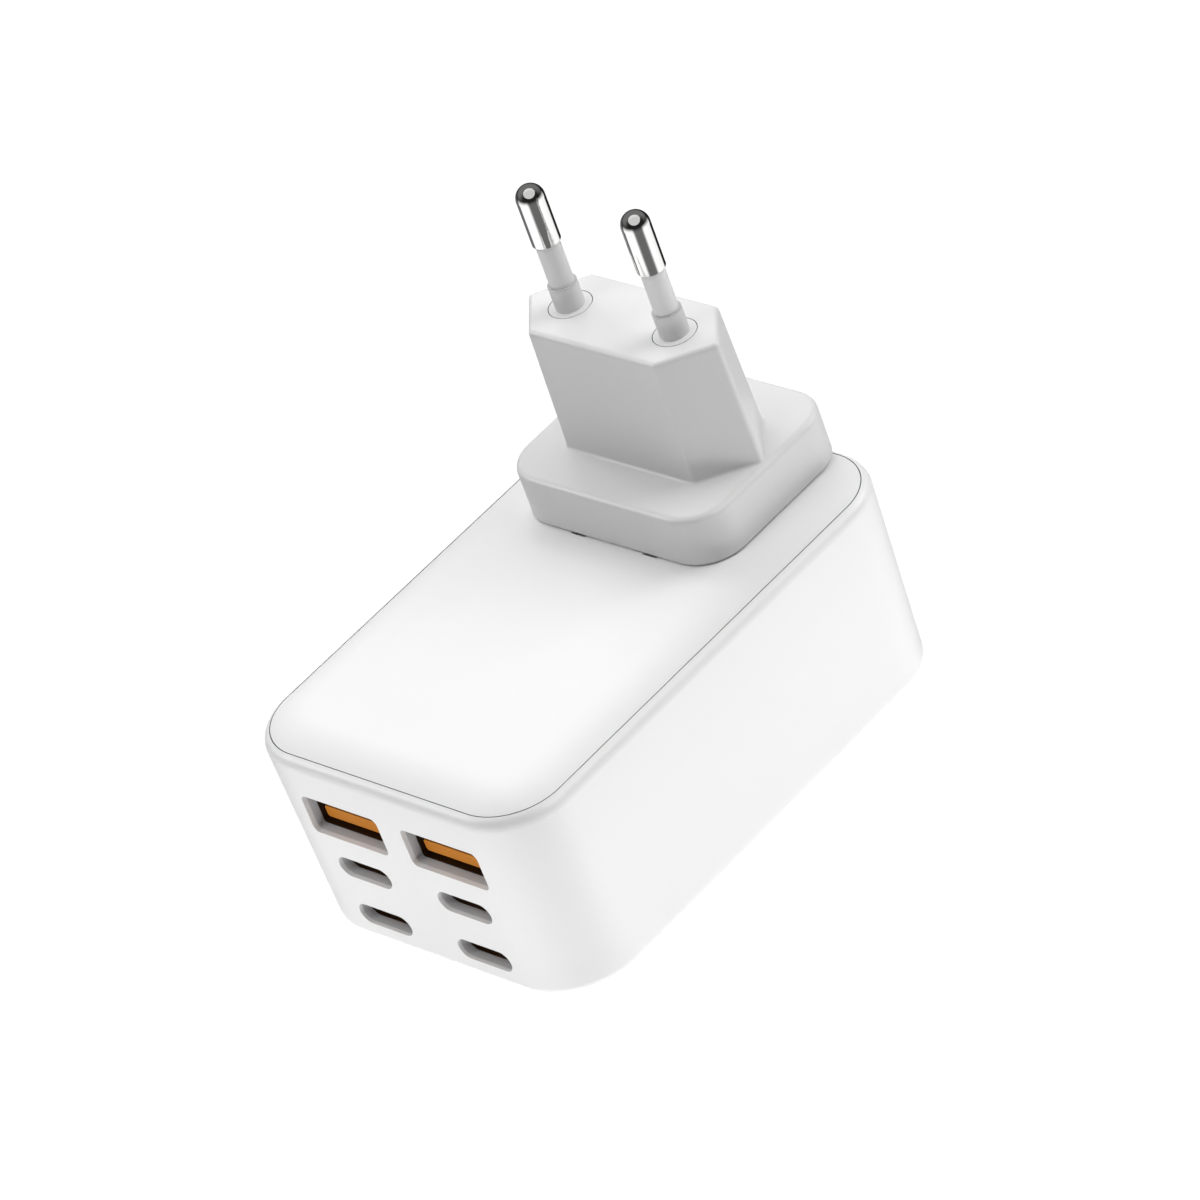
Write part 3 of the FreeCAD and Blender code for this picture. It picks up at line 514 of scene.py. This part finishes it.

# %% [markdown]
# ## The orange tongues
# The insulators are glass-filled polyester, a dense, slightly waxy plastic. The tongue that
# carries the contacts is orange. The lining round it lies deep in the mouth, and its shade is
# painted: the lining is coloured a very dark brown, so the tongue stands out of a dark mouth.
# Both belong to one solid, so the material tells them apart by place: the tongue is where the
# distance from its middle is below half its width and height.

# %% Insulators
TONGUE_TONES, LINING_SHADE_TONES = ("#d98a26", "#c97818"), ("#3a2410", "#2c1a0a")
MARGIN_MM, WAX_MM = 0.05, 4.0
TONGUE_SIZES = ((0.79, 11.4, 1.84), (0.0, 6.69, 0.7), (0.0, 6.69, 0.7))  # drop, width, thickness in mm


def insulator(name, node, drop_mm, wide_mm, thick_mm):
    """Orange inside a box round the tongue; outside it, dark brown that is painted shade of the deep mouth.
    """
    material, tree, shader = fresh(name)
    low, high = (np.array(corner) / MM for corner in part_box(node))
    middle = np.abs((low + high) / 2) - np.array([0.0, 0.0, drop_mm])
    place = add(tree, "ShaderNodeTexCoord").outputs["Object"]
    apart = add(tree, "ShaderNodeSeparateXYZ", {0: place}).outputs
    aside_x = add(tree, "ShaderNodeMath", {0: apart["X"]}, operation="ABSOLUTE").outputs[0]
    near = []
    for value, centre, whole in ((aside_x, middle[0], wide_mm), (apart["Z"], middle[2], thick_mm)):
        span = {0: value, 1: centre * MM, 2: (whole / 2 + MARGIN_MM) * MM}
        near.append(add(tree, "ShaderNodeMath", span, operation="COMPARE").outputs[0])
    tongue = add(tree, "ShaderNodeMath", {0: near[0], 1: near[1]}, operation="MULTIPLY").outputs[0]
    flow = add(tree, "ShaderNodeTexNoise", {"Vector": place, "Scale": per_size(WAX_MM)}).outputs[0]
    tones = []
    # painted shade: the lining's dark brown stands for the shade deep in the mouth
    for pale, deep in (LINING_SHADE_TONES, TONGUE_TONES):
        shades = {0: flow, 6: linear(pale), 7: linear(deep)}
        tones.append(add(tree, "ShaderNodeMix", shades, data_type="RGBA").outputs[2])
    tone = add(tree, "ShaderNodeMix", {0: tongue, 6: tones[0], 7: tones[1]}, data_type="RGBA")
    tree.links.new(tone.outputs[2], shader.inputs["Base Color"])
    shader.inputs["Roughness"].default_value = 0.55
    shader.inputs["Specular IOR Level"].default_value = 0.15
    return material


for stem, (drop_mm, wide_mm, thick_mm) in zip(TONGUES, TONGUE_SIZES):
    polyester = insulator("two_tone_polyester_" + stem, stem + "_right", drop_mm, wide_mm, thick_mm)
    dress(polyester, *both(stem))
    print("insulators", both(stem), "tongue", wide_mm, "by", thick_mm, "mm")

# %% [markdown]
# ## Contact pads in the small ports
# A USB-C tongue carries twelve flat contacts on each face, half a millimetre apart and
# plated with gold. They could be painted on by a material, but then they would have no edge
# to catch the light. Each is a thin bar here: a rounded profile across the pad, carried
# along it, so the whole set is one surface over a grid of profile points and stations.

# %% Contact pads
PAD_PITCH_MM, PAD_WIDE_MM, PAD_THICK_MM = 0.5, 0.26, 0.05
PAD_SETBACK_MM, PAD_LONG_MM, PAD_COUNT, PROFILE = 0.5, 4.2, 12, 7
TONGUE_BEHIND_MM, TONGUE_THICK_MM = 0.7, 0.7


def contact_pads(name, tongue):
    """Bars on both faces of a tongue: a half-ellipse profile (cos, sin) at two stations in depth."""
    low, high = (np.array(corner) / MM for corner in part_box(tongue))
    middle = (low + high) / 2
    front = low[1] + TONGUE_BEHIND_MM + PAD_SETBACK_MM
    angle = np.linspace(0, math.pi, PROFILE)
    across, lift = np.cos(angle) * PAD_WIDE_MM / 2, np.sin(angle) * PAD_THICK_MM
    offset = (np.arange(PAD_COUNT) - (PAD_COUNT - 1) / 2) * PAD_PITCH_MM
    face = np.array([1.0, -1.0])
    station = np.array([front, front + PAD_LONG_MM])
    f, o, s, a = np.meshgrid(face, offset, station, np.arange(PROFILE), indexing="ij")
    x = middle[0] + o + f * across[a]
    z = middle[2] + f * (TONGUE_THICK_MM / 2 + lift[a])
    index = np.arange(x.size).reshape(2 * PAD_COUNT, 2, PROFILE)
    near, far = index[:, 0], index[:, 1]
    quads = np.stack([near[:, :-1], far[:, :-1], far[:, 1:], near[:, 1:]], -1).reshape(-1, 4)
    caps = np.concatenate([near, far[:, ::-1]]).tolist()
    under = np.stack([near[:, 0], near[:, -1], far[:, -1], far[:, 0]], -1).tolist()
    made = surface(name, np.stack([x, s, z], -1), quads.tolist() + caps + under)
    made.data.materials.append(gilt)
    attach(made, "charger")
    return made


gilt = metal("gold_plated_contact", "#d8b45c", "#cfa94e", 0.22, 0.15, "Y")
pads = [contact_pads(name.replace("tongue", "pads"), name) for name in both(*TONGUES[1:])]
print("contact pads", [o.name for o in pads], len(pads[0].data.polygons), "faces each")

# %% [markdown]
# ## Parts inside
# The boards are woven glass laminate under green lacquer. Their parts are epoxy, ferrite,
# tape, enamelled copper, sleeved aluminium cans and dipped ceramic. They show only when the
# case is taken apart, and each still has the finish of its real material.

# %% Bands and sleeves
CAN_TOP_MM = 0.05


def banded(name, pale, deep, roughness, band_mm, depth_mm, axis, metallic=0.0):
    """Surface with even bands along one axis, as of laid wire or tape: a sine wave lifts the skin."""
    material, tree, shader = fresh(name)
    place = add(tree, "ShaderNodeTexCoord").outputs["Object"]
    # one turn of the wave texture takes pi / 10 texture units
    scale = {"Vector": place, "Scale": per_size(band_mm) * math.pi / 10}
    wave = add(tree, "ShaderNodeTexWave", scale, wave_type="BANDS", bands_direction=axis).outputs["Fac"]
    shades = {0: wave, 6: linear(deep), 7: linear(pale)}
    tone = add(tree, "ShaderNodeMix", shades, data_type="RGBA").outputs[2]
    lift = add(tree, "ShaderNodeBump", {"Height": wave, "Distance": depth_mm * MM, "Strength": 1.0})
    tree.links.new(tone, shader.inputs["Base Color"])
    tree.links.new(lift.outputs["Normal"], shader.inputs["Normal"])
    shader.inputs["Roughness"].default_value = roughness
    shader.inputs["Metallic"].default_value = metallic
    return material


def sleeved_can(name, sleeve_hex, top_hex, edge_mm, roughness=0.35):
    """Two finishes on one solid: shrink sleeve below the edge, bare aluminium above it."""
    material, tree, shader = fresh(name)
    place = add(tree, "ShaderNodeTexCoord").outputs["Object"]
    height = add(tree, "ShaderNodeSeparateXYZ", {0: place}).outputs["Z"]
    above = add(tree, "ShaderNodeMath", {0: height, 1: edge_mm * MM}, operation="GREATER_THAN").outputs[0]
    shades = {0: above, 6: linear(sleeve_hex), 7: linear(top_hex)}
    tone = add(tree, "ShaderNodeMix", shades, data_type="RGBA").outputs[2]
    tree.links.new(tone, shader.inputs["Base Color"])
    tree.links.new(above, shader.inputs["Metallic"])
    shader.inputs["Roughness"].default_value = roughness
    return material


print("bare tops of the cans", CAN_TOP_MM, "mm deep")

# %% Board parts
laminate = banded("green_laminate", "#2f6b45", "#285f3c", 0.4, 0.5, 0.004, "X")
epoxy = moulded("black_epoxy", "#26262a", "#1e1e21", 0.55, 0.003, flow_mm=3.0, grain_mm=0.12)
ferrite = moulded("sintered_ferrite", "#3a3a3d", "#303033", 0.6, 0.004, flow_mm=4.0, grain_mm=0.1)
tape = banded("polyester_tape", "#e3c53a", "#d6b52c", 0.3, 6.0, 0.05, "Z")
copper = banded("enamelled_copper", "#b8642f", "#8f4a20", 0.3, 0.8, 0.12, "Z", metallic=1.0)
film_case = moulded("film_capacitor_case", "#c9c4b4", "#bfb9a8", 0.5, 0.003, flow_mm=5.0)
dipped = moulded("dipped_ceramic", "#3f67b0", "#365aa0", 0.35, 0.01, flow_mm=3.0, grain_mm=0.8)
fuse_tube = moulded("fuse_ceramic", "#d8d5cb", "#cdc9be", 0.5, 0.003, flow_mm=3.0)
insulation = moulded("wire_insulation", "#2a2a2c", "#232325", 0.45, 0.004, flow_mm=3.0)
fibre = moulded("fibre_sheet", "#4a4a4a", "#404040", 0.7, 0.01, flow_mm=6.0, grain_mm=0.3)
dress(laminate, "port_board", "main_board")
dress(epoxy, "port_chip_1", "port_chip_2", "port_chip_3", "controller_chip", "power_transistor",
      "bridge_rectifier", "output_inductor")
dress(ferrite, "transformer_core", "choke_core")
dress(tape, "transformer_winding")
dress(copper, *both("choke_winding"))
dress(film_case, "x_capacitor")
dress(dipped, "y_capacitor")
dress(fuse_tube, "fuse")
dress(insulation, *both("dock_wire"))
dress(fibre, "insulation_sheet")
for stem, count in (("bulk_capacitor_", 2), ("output_capacitor_", 4)):
    cans = [stem + str(number) for number in range(1, count + 1)]
    top_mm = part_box(cans[0])[1].z / MM
    dress(sleeved_can(stem + "sleeve", "#23262e", "#c4c6c8", top_mm - CAN_TOP_MM), *cans)
print("board parts dressed")
